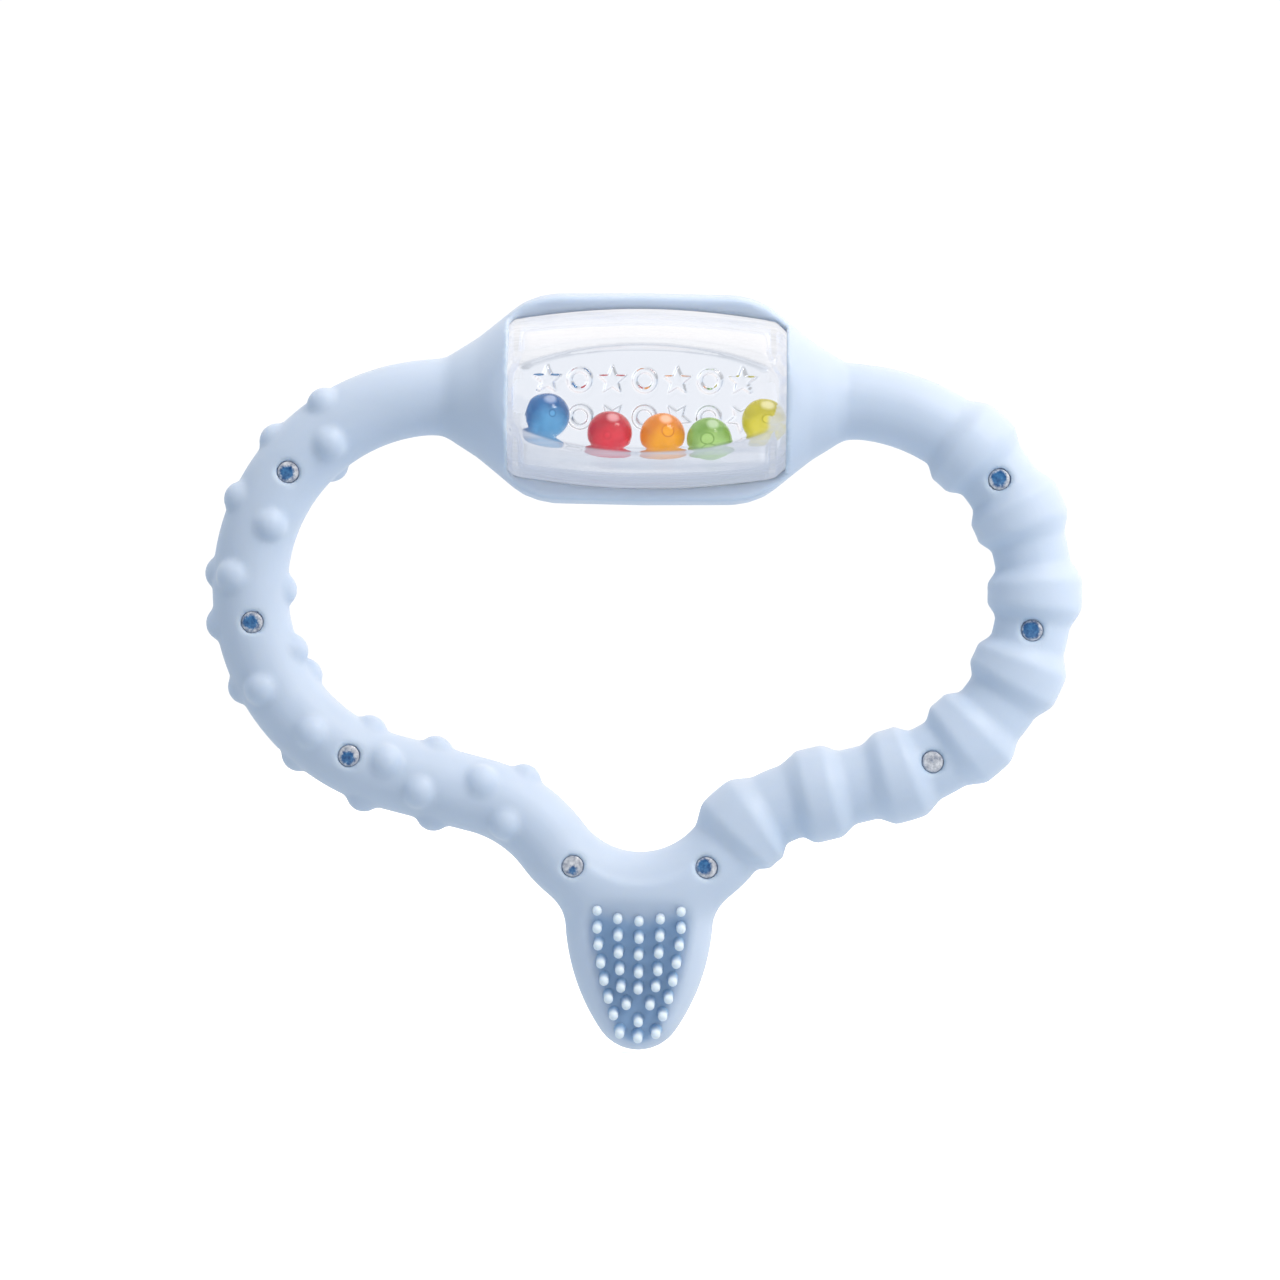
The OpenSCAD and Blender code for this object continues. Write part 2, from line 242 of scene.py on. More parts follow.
def nearest_on_line(x, z):
    """Distance along the centre line, and distance from it in the XZ plane, of points on the right half."""
    runs = []

    def straight(start, heading, length, s_start):
        along = (x - start[0]) * math.cos(heading) - (z - start[1]) * math.sin(heading)
        along = np.clip(along, 0, length)
        end = forward(heading)
        gap = np.hypot(x - start[0] - along * end[0], z - start[1] - along * end[1])
        runs.append((s_start + along, gap))

    def arc(centre, r, first, last, s_start, turn):
        heading = np.arctan2(turn * (x - centre[0]), turn * (z - centre[1]))
        heading = np.where(heading < 0, heading + 2 * math.pi, heading)
        heading = np.clip(heading, min(first, last), max(first, last))
        reach = turn * r
        gap = np.hypot(x - centre[0] - reach * np.sin(heading), z - centre[1] - reach * np.cos(heading))
        runs.append((s_start + np.abs(heading - first) * r, gap))

    straight(np.array([0, TOP_Z]), 0, BAR_HALF, 0)
    arc(SIDE_CENTRE, SIDE_R, 0, SIDE_TURN, S_SIDE, 1)
    straight(SIDE_END, SIDE_TURN, LOWER_RUN, S_RUN)
    arc(WAIST_CENTRE, WAIST_R, SIDE_TURN, BOTTOM_HEADING, S_WAIST, -1)
    arc(BOTTOM_CENTRE, BOTTOM_R, BOTTOM_HEADING, math.pi, S_BOTTOM, 1)
    s, gap = runs[0]
    for other_s, other_gap in runs[1:]:
        nearer = other_gap < gap
        s = np.where(nearer, other_s, s)
        gap = np.where(nearer, other_gap, gap)
    return s, gap


def ring_frame(s, side):
    """Centre of the tube at s and its outward and front directions; side is 1 right, -1 left."""
    x, z = point_at(s)
    heading = heading_at(s)
    out = Vector((side * math.sin(heading), 0, math.cos(heading)))
    return Vector((side * x, 0, z)), out, Vector((0, -1, 0))


# ---- Distance fields of the parts ----

def barrel_field(x, y, z, size, k):
    """Barrel with flat front and rear panels. size is the half length, the three radii, half the depth
    and the corner's radius; k is the width of the soft edges."""
    half, mid_r, shoulder_r, end_r, depth_half, corner = size
    rho = np.hypot(y, z - TOP_Z)
    shoulder = half - (shoulder_r - end_r)
    curve_r = (shoulder ** 2 + (mid_r - shoulder_r) ** 2) / (2 * (mid_r - shoulder_r))
    barrel = np.hypot(np.abs(x), rho - (mid_r - curve_r)) - curve_r
    bevel = (np.abs(x) + rho - half - end_r) * math.sqrt(0.5)
    inset_x = np.abs(x) - half + corner
    inset_y = np.abs(y) - depth_half + corner
    outside = np.hypot(np.maximum(inset_x, 0), np.maximum(inset_y, 0))
    inside = np.minimum(np.maximum(inset_x, inset_y), 0)
    return soft_max(soft_max(barrel, bevel, k), outside + inside - corner, k)


CAPSULE_SIZE = (CAPSULE_HALF, CAPSULE_R, CAPSULE_SHOULDER_R, CAPSULE_END_R, CAPSULE_DEPTH_HALF,
                CAPSULE_CORNER)
CAVITY_SIZE = (CAVITY_HALF, CAVITY_R, CAVITY_SHOULDER_R, CAVITY_END_R, CAVITY_DEPTH_HALF, CAVITY_CORNER)


def capsule_field(x, y, z):
    return barrel_field(x, y, z, CAPSULE_SIZE, CAPSULE_SOFT)


def cavity_field(x, y, z):
    return barrel_field(x, y, z, CAVITY_SIZE, CAVITY_SOFT)


def smooth_profile(points, reach):
    """Table of an outline through points, smoothed over a distance of reach."""
    step = 0.05
    at = np.arange(-reach, points[-1][0], step)
    radius = np.interp(np.abs(at), [p[0] for p in points], [p[1] for p in points])
    window = np.hanning(int(2 * reach / step) + 1)
    padded = np.pad(radius, len(window) // 2, mode="edge")
    smooth = np.convolve(padded, window / window.sum(), mode="valid")
    return at, smooth


SLEEVE_AT, SLEEVE_RADIUS = smooth_profile(SLEEVE_PROFILE, SLEEVE_SMOOTHING)
SLEEVE_SLOPE = np.gradient(SLEEVE_RADIUS, SLEEVE_AT)


def sleeve_field(x, y, z):
    rho = np.hypot(y, z - TOP_Z)
    radius = np.interp(np.abs(x), SLEEVE_AT, SLEEVE_RADIUS)
    slope = np.interp(np.abs(x), SLEEVE_AT, SLEEVE_SLOPE)
    round_part = (rho - radius) / np.sqrt(1 + slope * slope)
    past_end = np.abs(x) - SLEEVE_PROFILE[-1][0]
    return np.maximum(soft_max(round_part, np.abs(y) - SLEEVE_DEPTH_HALF, SLEEVE_EDGE_SOFT), past_end)


def ridge_height(s):
    height = 0
    for i in range(RIDGE_COUNT):
        apart = np.abs(s - RIDGE_START - i * RIDGE_PITCH)
        height = height + RIDGE_H * (1 - ramp(apart, RIDGE_TOP_HALF, RIDGE_BASE_HALF))
    return height


def tube_field(x, y, z):
    s, gap = nearest_on_line(np.abs(x), z)
    ridged = np.where(x > 0, ridge_height(s), 0)
    return np.hypot(gap, y) - TUBE_R - ridged


def rod_field(x, y, z):
    _, gap = nearest_on_line(np.abs(x), z)
    return np.hypot(gap, y) - ROD_R


def oval_shape(half_w, h, tip_r):
    """Radius of the side arcs of an oval with a round end, and the angle they span."""
    side_r = ((h - tip_r) ** 2 + half_w ** 2 - tip_r ** 2) / (2 * (half_w - tip_r))
    return side_r, math.atan2(h - tip_r, side_r - half_w)


def oval_half_width(half_w, h, tip_r, height):
    side_r, swing = oval_shape(half_w, h, tip_r)
    if height < tip_r - tip_r * math.sin(swing):
        return math.sqrt(max(0, tip_r ** 2 - (tip_r - height) ** 2))
    return half_w - side_r + math.sqrt(side_r ** 2 - max(0, h - height) ** 2)


def oval_field(x, z, half_w, h, tip_r, tip_z):
    """Distance from the outline of a U shape whose round end is at tip_z."""
    side_r, swing = oval_shape(half_w, h, tip_r)
    rise = z - tip_z
    across = np.abs(x)
    straight = across - half_w
    side = np.hypot(across - (half_w - side_r), rise - h) - side_r
    tip = np.hypot(across, rise - tip_r) - tip_r
    from_side_centre = np.arctan2(h - rise, across - (half_w - side_r))
    on_tip = (from_side_centre > swing) | (across < 0)
    return np.where(rise > h, straight, np.where(on_tip, tip, side))


def tongue_half_thickness(x, z):
    root_z = BOTTOM_CENTRE[1] - BOTTOM_R
    across = np.clip(np.abs(x) / TONGUE_HALF_W, 0, 1)
    down = np.clip((root_z - z) / root_z, 0, 1)
    thinner = across ** 2 * (TONGUE_T - TONGUE_EDGE_T) + down ** 2 * (TONGUE_T - TONGUE_TIP_T)
    return (TONGUE_T - thinner) / 2


def tongue_field(x, y, z):
    outline = oval_field(x, z, TONGUE_HALF_W, TONGUE_H, TONGUE_TIP_R, 0)
    faces = np.abs(y) - tongue_half_thickness(x, z)
    hole = BOTTOM_R - np.hypot(x, z - BOTTOM_CENTRE[1])
    top = z - BOTTOM_CENTRE[1]
    return np.maximum(soft_max(outline, faces, TONGUE_EDGE_SOFT), np.maximum(hole, top))


def hollow_outline(x, z):
    return oval_field(x, z, HOLLOW_HALF_W, TONGUE_H, HOLLOW_TIP_R, HOLLOW_TIP_Z)


def hollow_field(x, y, z):
    """Space of the shallow dish that the bristles stand in."""
    ceiling = z - BRISTLE_TOP_Z - HOLLOW_RISE
    walls = soft_max(hollow_outline(x, z), ceiling, HOLLOW_CORNER)
    return soft_max(walls, y - HOLLOW_FLOOR_Y, HOLLOW_FILLET)


def nub_centres():
    """Middle of the ball that makes each nub. The rear has the same nubs as the front."""
    rear_nubs = tuple((s, 180 - angle) for s, angle in FACE_NUBS)
    centres = []
    for s, angle in EDGE_NUBS + FACE_NUBS + rear_nubs:
        point, out, front = ring_frame(s, -1)
        lift = math.sin(math.radians(angle)) * out + math.cos(math.radians(angle)) * front
        centres.append(point + (TUBE_R + NUB_H - NUB_R) * lift)
    return centres


NUB_CENTRES = nub_centres()


def nub_field(x, y, z):
    nearest = np.full_like(x, 1e3)
    for c in NUB_CENTRES:
        nearest = np.minimum(nearest, (x - c.x) ** 2 + (y - c.y) ** 2 + (z - c.z) ** 2)
    return np.sqrt(nearest) - NUB_R


def window_field(x, y, z):
    """Space of the openings over the front and the rear of the capsule."""
    middle = (WINDOW_LEFT + WINDOW_RIGHT) / 2
    ends = np.abs(x - middle) - (WINDOW_RIGHT - WINDOW_LEFT) / 2
    strip = np.abs(z - TOP_Z) * math.cos(WINDOW_HALF_ANGLE) - np.abs(y) * math.sin(WINDOW_HALF_ANGLE)
    return soft_max(ends, strip, np.where(x < 0, WINDOW_LEFT_CORNER, WINDOW_RIGHT_CORNER))


def boss_field(x, z, r):
    """Distance from the round holes along Y in which the bosses stand."""
    nearest = np.full_like(x, 1e3)
    for s in BOSS_PLACES:
        px, pz = point_at(s)
        nearest = np.minimum(nearest, np.hypot(np.abs(x) - px, z - pz))
    return nearest - r


def silicone_field(x, y, z):
    """Signed distance, nearly, from the surface of the silicone: negative inside."""
    body = soft_min(tube_field(x, y, z), nub_field(x, y, z), NUB_FILLET)
    body = soft_min(body, sleeve_field(x, y, z), SLEEVE_FILLET)
    tongue = soft_max(tongue_field(x, y, z), -hollow_field(x, y, z), HOLLOW_LIP)
    body = soft_min(body, tongue, TONGUE_FILLET)
    core = np.minimum(rod_field(x, y, z), capsule_field(x, y, z)) - SKIN_GAP
    body = soft_max(body, -core, CORE_LIP)
    body = soft_max(body, -window_field(x, y, z), WINDOW_LIP)
    return soft_max(body, -boss_field(x, z, BOSS_R + SKIN_GAP), BOSS_LIP)


def outer_field(x, y, z):
    """Quick field used only to find the cells that the silicone's surface can pass through."""
    return np.minimum(np.minimum(tube_field(x, y, z), sleeve_field(x, y, z)), tongue_field(x, y, z))


# ---- Meshes ----

def new_object(name, verts_mm, faces):
    """Smooth-shaded object from places in millimetres."""
    mesh = bpy.data.meshes.new(name)
    mesh.from_pydata((np.asarray(verts_mm) * MM).tolist(), [], [list(map(int, f)) for f in faces])
    mesh.validate()
    mesh.shade_smooth()
    obj = bpy.data.objects.new(name, mesh)
    bpy.context.scene.collection.objects.link(obj)
    return obj


def store(obj, name, values):
    """Store a number at each vertex for the materials to read."""
    layer = obj.data.attributes.new(name, "FLOAT", "POINT")
    layer.data.foreach_set("value", values.astype(np.float32))


def field_gradient(field, p, h=0.02):
    """Value and gradient of a field at points p."""
    value = field(p[:, 0], p[:, 1], p[:, 2])
    grad = np.empty_like(p)
    for axis in range(3):
        step = np.zeros(3)
        step[axis] = h
        a = p + step
        b = p - step
        grad[:, axis] = (field(a[:, 0], a[:, 1], a[:, 2]) - field(b[:, 0], b[:, 1], b[:, 2])) / (2 * h)
    return value, grad


def mesh_field(field, quick_field, low, high, voxel):
    """Quads on the zero surface of a field inside a box, with each vertex moved onto the surface."""
    axes = [np.arange(low[i] - 2 * voxel, high[i] + 3 * voxel, voxel) for i in range(3)]
    x, y, z = np.meshgrid(*axes, indexing="ij")
    values = quick_field(x.ravel(), y.ravel(), z.ravel())
    # The full field differs from the quick one only near its surface and inside it
    check = values < 2.5
    values[check] = field(x.ravel()[check], y.ravel()[check], z.ravel()[check])
    values = np.clip(values, -3 * voxel, 3 * voxel).reshape(x.shape)
    grid = openvdb.FloatGrid(3 * voxel)
    grid.copyFromArray(values.astype(np.float32))
    points, quads = grid.convertToQuads(0.0)
    points = np.array([axes[i][0] for i in range(3)]) + np.asarray(points, float) * voxel
    for _ in range(3):
        value, grad = field_gradient(field, points)
        move = value / np.maximum((grad ** 2).sum(1), 0.2)
        move = np.clip(move, -0.4 * voxel, 0.4 * voxel)
        points = points - move[:, None] * grad
    return points, np.asarray(quads)


def silicone_piece():
    """The ring in one piece, meshed in a box that leaves a little room round it."""
    voxel = 0.5
    room = 0.6
    low = (-58, -SLEEVE_DEPTH_HALF - room, -room)
    high = (58, SLEEVE_DEPTH_HALF + room, TOP_Z + 14.5)
    points, quads = mesh_field(silicone_field, outer_field, low, high, voxel)
    obj = new_object("silicone_skin", points, quads)
    x, y, z = points[:, 0], points[:, 1], points[:, 2]
    # Painted shade: the dish under the bristles, shaded among them, is painted deep blue
    in_outline = 1 - ramp(hollow_outline(x, z), -0.6, 0.2)
    below_bar = 1 - ramp(z, BRISTLE_TOP_Z - 0.5, BRISTLE_TOP_Z + 1)
    on_floor = ramp(y, HOLLOW_FLOOR_Y - 1.2, HOLLOW_FLOOR_Y - 0.1) * (y < 0)
    store(obj, "dish", 0.75 * in_outline * below_bar * on_floor)
    # Near the capsule, and on the lip of the sleeve's window
    rho = np.hypot(y, z - TOP_Z)
    by_capsule = 1 - ramp(np.abs(x), CAPSULE_HALF + 2, CAPSULE_HALF + 5)
    by_capsule = by_capsule * (1 - ramp(rho, CAPSULE_R + 3, CAPSULE_R + 5))
    in_window = 1 - ramp(window_field(x, y, z), -0.1, 0.4)
    store(obj, "by_capsule", by_capsule)
    store(obj, "lip", by_capsule * in_window)
    return obj


def bristle_places():
    """Root x and z of every bristle."""
    places = []
    for row in range(BRISTLE_ROWS):
        z = BRISTLE_TOP_Z - row * BRISTLE_PITCH
        half = oval_half_width(BRISTLE_HALF_W, TONGUE_H, BRISTLE_TIP_R, z - BRISTLE_TIP_Z)
        if row < 5:
            shares = (-1, -0.5, 0, 0.5, 1)
        elif row == 5:
            shares = (-1, -0.4, 0.4, 1)
        else:
            shares = (-1, 0, 1)
        for share in shares:
            places.append((share * half, z - BRISTLE_SAG * half * (1 - share * share)))
    return places


def revolve(outline, steps):
    """Verts and faces of an outline of (radius, height) points turned about Z; both ends lie on the axis."""
    verts = [(0, 0, outline[0][1])]
    for r, h in outline[1:-1]:
        for i in range(steps):
            a = 2 * math.pi * i / steps
            verts.append((r * math.cos(a), r * math.sin(a), h))
    verts.append((0, 0, outline[-1][1]))
    rings = len(outline) - 2
    faces = []
    for i in range(steps):
        j = (i + 1) % steps
        faces.append((0, 1 + j, 1 + i))
        for ring in range(rings - 1):
            base = 1 + ring * steps
            faces.append((base + i, base + j, base + steps + j, base + steps + i))
        last = 1 + (rings - 1) * steps
        faces.append((last + i, last + j, len(verts) - 1))
    return np.array(verts, float), faces


def bristle_piece():
    """All the bristles: round pins with domed tips and a small fillet at the root, leaning down a little."""
    rng = np.random.default_rng(11)
    straight_top = BRISTLE_H - BRISTLE_R
    outline = [(0, -0.6), (BRISTLE_R + 0.3, -0.6), (BRISTLE_R + 0.18, 0), (BRISTLE_R + 0.06, 0.25),
               (BRISTLE_R + 0.01, 0.7)]
    arc_steps = 9
    for i in range(arc_steps):
        a = math.pi / 2 * i / arc_steps
        outline.append((BRISTLE_R * math.cos(a), straight_top + BRISTLE_R * math.sin(a)))
    outline.append((0, BRISTLE_H))
    pin, pin_faces = revolve(outline, 24)
    verts, faces = [], []
    # Painted shade: 1 at each bristle's root, falling to 0 three quarters of the way up, where the deep blue
    # fades out
    root = np.clip(1 - pin[:, 2] / (0.75 * BRISTLE_H), 0, 1)
    for x, z in bristle_places():
        lean = Matrix.Rotation(math.pi / 2 + BRISTLE_LEAN + rng.normal(0, 0.02), 3, "X")
        sway = Matrix.Rotation(rng.normal(0, 0.02), 3, "Z")
        turned = pin @ np.array(sway @ lean).T + np.array([x, HOLLOW_FLOOR_Y, z])
        start = sum(len(v) for v in verts)
        verts.append(turned)
        faces += [tuple(start + k for k in f) for f in pin_faces]
    obj = new_object("brush_bristles", np.concatenate(verts), faces)
    store(obj, "root", np.tile(root, len(verts)))
    return obj


# ---- Clear core ----

def shoot(directions, field):
    """Points where rays from the middle of the capsule leave a field."""
    low = np.zeros(len(directions))
    beyond = 1.3
    high = np.full(len(directions), beyond)
    for _ in range(40):
        mid = (low + high) / 2
        p = directions * mid[:, None]
        inside = field(p[:, 0], p[:, 1], p[:, 2] + TOP_Z) < 0
        low = np.where(inside, mid, low)
        high = np.where(inside, high, mid)
    return directions * ((low + high) / 2)[:, None]


def spread(count, first, last, focus):
    """count values from first to last, closer together in the middle by the share focus."""
    t = np.linspace(-1, 1, count)
    t = t * (1 - focus) + focus * t ** 3
    return first + (last - first) * (t + 1) / 2


def segment_gap(x, z, a, b):
    """Distance of points from the segment between two points."""
    run = (b[0] - a[0], b[1] - a[1])
    along = ((x - a[0]) * run[0] + (z - a[1]) * run[1]) / (run[0] ** 2 + run[1] ** 2)
    along = np.clip(along, 0, 1)
    return np.hypot(x - a[0] - along * run[0], z - a[1] - along * run[1])


def star_field(x, z, r):
    """Distance from the outline of a five-pointed star about the origin, negative inside."""
    angle = np.abs((np.arctan2(x, z) + math.pi / 5) % (2 * math.pi / 5) - math.pi / 5)
    rho = np.hypot(x, z)
    u, v = rho * np.sin(angle), rho * np.cos(angle)
    inner = 0.45 * r
    tip = (0, r)
    dent = (inner * math.sin(math.pi / 5), inner * math.cos(math.pi / 5))
    gap = segment_gap(u, v, tip, dent)
    side = (dent[0] - tip[0]) * (v - tip[1]) - (dent[1] - tip[1]) * (u - tip[0])
    return np.where(side > 0, gap, -gap)


def charm_height(x, z):
    """Height of the row of stars and hoops over a panel, at places measured from its middle."""
    height = np.zeros_like(x)
    edge = 0.12
    for i in range(CHARM_COUNT):
        at = (i - (CHARM_COUNT - 1) / 2) * CHARM_PITCH
        if i % 2 == 0:
            gap = star_field(x - at, z - CHARM_RAISE, CHARM_R)
        else:
            gap = np.abs(np.hypot(x - at, z - CHARM_RAISE) - HOOP_R + HOOP_W / 2) - HOOP_W / 2
        height = np.maximum(height, CHARM_H * (1 - ramp(gap, -edge, edge)))
    return height


def shell_grid(field, aspect, side, rows, columns, charms):
    """Half of a closed surface, as a grid of points from the left end to the right end. aspect is how far
    the rays spread along X and across it; side is -1 for the front half and 1 for the rear one."""
    along = spread(columns, math.pi - 0.02, 0.02, 0)
    around = spread(rows, 0, math.pi, 0.35)
    a, b = np.meshgrid(along, around, indexing="ij")
    d = np.stack([aspect[0] * np.cos(a), side * aspect[1] * np.sin(a) * np.sin(b),
                  aspect[1] * np.sin(a) * np.cos(b)], -1)
    p = shoot(d.reshape(-1, 3), field)
    if charms:
        panel = np.abs(p[:, 1]) > CAPSULE_DEPTH_HALF - 0.05
        p[:, 1] += np.where(panel, side * charm_height(p[:, 0], -side * p[:, 2]), 0)
    p[:, 2] += TOP_Z
    return p.reshape(columns, rows, 3)


def grid_faces(columns, rows, start, flip):
    faces = []
    for i in range(columns - 1):
        for j in range(rows - 1):
            k = start + i * rows + j
            face = (k, k + rows, k + rows + 1, k + 1)
            faces.append(face[::-1] if flip else face)
    return faces


def capsule_half(side):
    """Verts and faces of one half of the hollow capsule, closed by flat faces on the plane Y = 0."""
    rows, columns = ((200, 380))
    outer = shell_grid(capsule_field, (1.2 * CAPSULE_HALF, 1.4 * CAPSULE_R), side, rows, columns, True)
    inner_rows, inner_columns = 80, 120
    inner = shell_grid(cavity_field, (1.2 * CAVITY_HALF, 1.4 * CAVITY_R), side, inner_rows, inner_columns,
                       False)
    verts = np.concatenate([outer.reshape(-1, 3), inner.reshape(-1, 3)])
    inner_start = columns * rows
    flip = side < 0
    faces = grid_faces(columns, rows, 0, flip) + grid_faces(inner_columns, inner_rows, inner_start, not flip)
    # Each end of both grids is closed by one small face, and the seam by a strip between the outlines
    outer_left = list(range(rows))
    outer_right = [(columns - 1) * rows + j for j in range(rows)]
    inner_left = [inner_start + j for j in range(inner_rows)]
    inner_right = [inner_start + (inner_columns - 1) * inner_rows + j for j in range(inner_rows)]
    ends = ((outer_left, not flip), (outer_right, flip), (inner_left, flip), (inner_right, not flip))
    for ring, turn in ends:
        faces.append(tuple(ring[::-1]) if turn else tuple(ring))
    seam_start = len(faces)
    outer_loop = ([i * rows for i in range(columns)]
                  + [i * rows + rows - 1 for i in reversed(range(columns))])
    inner_loop = ([inner_start + i * inner_rows for i in range(inner_columns)]
                  + [inner_start + i * inner_rows + inner_rows - 1 for i in reversed(range(inner_columns))])
    faces += loop_strip(verts, outer_loop, inner_loop, flip)
    return verts, faces, seam_start


def loop_strip(verts, outer, inner, flip):
    """Triangles that fill the band between two closed loops which run the same way."""
    def share(loop):
        points = verts[loop + loop[:1]]
        lengths = np.linalg.norm(np.diff(points, axis=0), axis=1)
        return np.concatenate([[0], np.cumsum(lengths)]) / lengths.sum()

    a_at, b_at = share(outer), share(inner)
    faces = []
    i = j = 0
    while i < len(outer) or j < len(inner):
        a, b = outer[i % len(outer)], inner[j % len(inner)]
        if j >= len(inner) or (i < len(outer) and a_at[i + 1] <= b_at[j + 1]):
            face = (a, outer[(i + 1) % len(outer)], b)
            i += 1
        else:
            face = (a, inner[(j + 1) % len(inner)], b)
            j += 1
        faces.append(face[::-1] if flip else face)
    return faces


def half_rod(side):
    """Verts and faces of the half-round rod from the capsule's right end round to its left end."""
    places = np.linspace(CAPSULE_HALF, S_END, 80)
    stations = [(s, 1) for s in places] + [(s, -1) for s in places[-2::-1]]
    rows = 17
    verts = []
    for s, x_side in stations:
        point, out, _ = ring_frame(s, x_side)
        for j in range(rows):
            a = math.pi * j / (rows - 1)
            p = point + ROD_R * (math.cos(a) * out + Vector((0, side * math.sin(a), 0)))
            verts.append(tuple(p))
    faces = grid_faces(len(stations), rows, 0, side < 0)
    seam_start = len(faces)
    for i in range(len(stations) - 1):
        k = i * rows
        face = (k, k + rows - 1, k + 2 * rows - 1, k + rows)
        faces.append(face[::-1] if side < 0 else face)
    first = tuple(range(rows))
    last = tuple((len(stations) - 1) * rows + j for j in range(rows))
    caps = [first if side < 0 else first[::-1], last[::-1] if side < 0 else last]
    return np.array(verts), faces, seam_start, caps


def boss_shape(s, x_side, side):
    """A boss from inside the rod to just under the silicone's surface, with a softly rounded rim."""
    top = TUBE_R - BOSS_RECESS
    root = 1.2
    rim = 0.35
    arc_steps = 5
    outline = [(0, root), (BOSS_R, root), (BOSS_R, 2)]
    for i in range(arc_steps):
        a = math.pi / 2 * i / arc_steps
        outline.append((BOSS_R - rim + rim * math.cos(a), top - rim + rim * math.sin(a)))
    for r in (0.9, 0.75, 0.6, 0.45, 0.3, 0.15, 0):
        outline.append((r, top + 0.06 * (1 - r * r)))
    pin, faces = revolve(outline, 40)
    x, z = point_at(s)
    turn = np.array(Matrix.Rotation(-side * math.pi / 2, 3, "X"))
    return pin @ turn.T + np.array([x_side * x, 0, z]), faces


def shade_core(obj):
    """Store where a core half has outlines of stars, hoops and panels, which get painted shade, and where
    its wall is curved, which gets a painted glow.
    """
    co = np.array([v.co for v in obj.data.vertices]) / MM
    x, y, z = co[:, 0], co[:, 1], co[:, 2]
    height = charm_height(x, -np.sign(y) * (z - TOP_Z)) / CHARM_H
    on_panel = np.abs(y) > CAPSULE_DEPTH_HALF - 0.1
    charms = np.where(on_panel, 4 * height * (1 - height), 0)
    # Depth inside the same barrel without its flat panels, which is 0 where a panel meets the curved wall
    whole_barrel = (CAPSULE_HALF, CAPSULE_R, CAPSULE_SHOULDER_R, CAPSULE_END_R, 2 * CAPSULE_R,
                    CAPSULE_CORNER)
    inset = -barrel_field(x, y, z, whole_barrel, CAPSULE_SOFT)
    rim = 0.75 * (1 - ramp(np.abs(inset), 0, 0.2)) * (np.abs(y) > CAPSULE_DEPTH_HALF - 0.2)
    on_wall = (inset < 0.6) & (np.abs(x) < CAPSULE_HALF + 0.1) & (z > TOP_Z - CAPSULE_R - 1)
    curved = 1 - ramp(np.abs(y), CAPSULE_DEPTH_HALF - 0.15, CAPSULE_DEPTH_HALF - 0.01)
    store(obj, "outline", np.maximum(charms, rim))
    store(obj, "wall_glow", np.where(on_wall, curved, 0))


def core_half_piece(name, side):
    """A core half in one object: the capsule half, the half-round rod and the bosses on its side."""
    verts, faces, seam_start = capsule_half(side)
    seam = set(range(seam_start, len(faces)))
    all_verts, all_faces = [verts], list(faces)
    offset = len(verts)
    rod, rod_faces, rod_seam, caps = half_rod(side)
    first = len(all_faces)
    all_faces += [tuple(offset + k for k in f) for f in rod_faces]
    seam |= set(range(first + rod_seam, len(all_faces)))
    all_faces += [tuple(offset + k for k in f) for f in caps]
    all_verts.append(rod)
    offset += len(rod)
    bosses = {}
    for i, s in enumerate(BOSS_PLACES):
        x, z = point_at(s)
        for x_side in (-1, 1):
            pin, pin_faces = boss_shape(s, x_side, side)
            bosses[(i, x_side)] = (offset, offset + len(pin), len(all_faces), x_side * x, z)
            all_faces += [tuple(offset + k for k in f) for f in pin_faces]
            all_verts.append(pin)
            offset += len(pin)
    obj = new_object(name, np.concatenate(all_verts), all_faces)
    shade_core(obj)
    shade_bosses(obj, bosses, len(pin_faces))
    for material in (CLEAR, SEAM, LENS):
        obj.data.materials.append(material)
    for face in seam:
        obj.data.polygons[face].material_index = 1
        obj.data.polygons[face].use_smooth = False
    return obj


def shade_bosses(obj, bosses, face_count):
    """Give the bosses their own material and store each vertex's place across the boss, in boss radii."""
    across = np.zeros(len(obj.data.vertices))
    up = np.zeros(len(obj.data.vertices))
    drop = np.zeros(len(obj.data.vertices))
    from_drop = np.ones(len(obj.data.vertices))
    co = np.array([v.co for v in obj.data.vertices]) / MM
    for (i, x_side), (start, end, first_face, x, z) in bosses.items():
        size, right, rise = BOSS_DROPS[x_side][i]
        across[start:end] = (co[start:end, 0] - x) / BOSS_R
        up[start:end] = (co[start:end, 2] - z) / BOSS_R
        drop[start:end] = size
        from_drop[start:end] = np.hypot(across[start:end] - right, up[start:end] - rise)
        for face in range(first_face, first_face + face_count):
            obj.data.polygons[face].material_index = 2
    store(obj, "from_middle", np.hypot(across, up))
    store(obj, "from_drop", from_drop)
    store(obj, "drop", drop)


# ---- Beads ----

def bead_piece(name, node, seed):
    """A moulded bead, slightly uneven in shape."""
    low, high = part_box(node)
    centre = np.array((low + high) / 2) / MM
    radius = (high.x - low.x) / 2 / MM
    rng = np.random.default_rng(seed)
    rows = 48
    outline = [(radius * math.sin(math.pi * i / rows), -radius * math.cos(math.pi * i / rows))
               for i in range(rows + 1)]
    verts, faces = revolve(outline, 80)
    waves = rng.normal(0, 1.6, (6, 3))
    phases = rng.uniform(0, 2 * math.pi, 6)
    unit = verts / radius
    swell = sum(np.sin(unit @ w + p) for w, p in zip(waves, phases)) * 0.006
    verts = verts * (0.985 + swell[:, None])
    return new_object(name, verts + centre, faces)


# ---- Materials ----

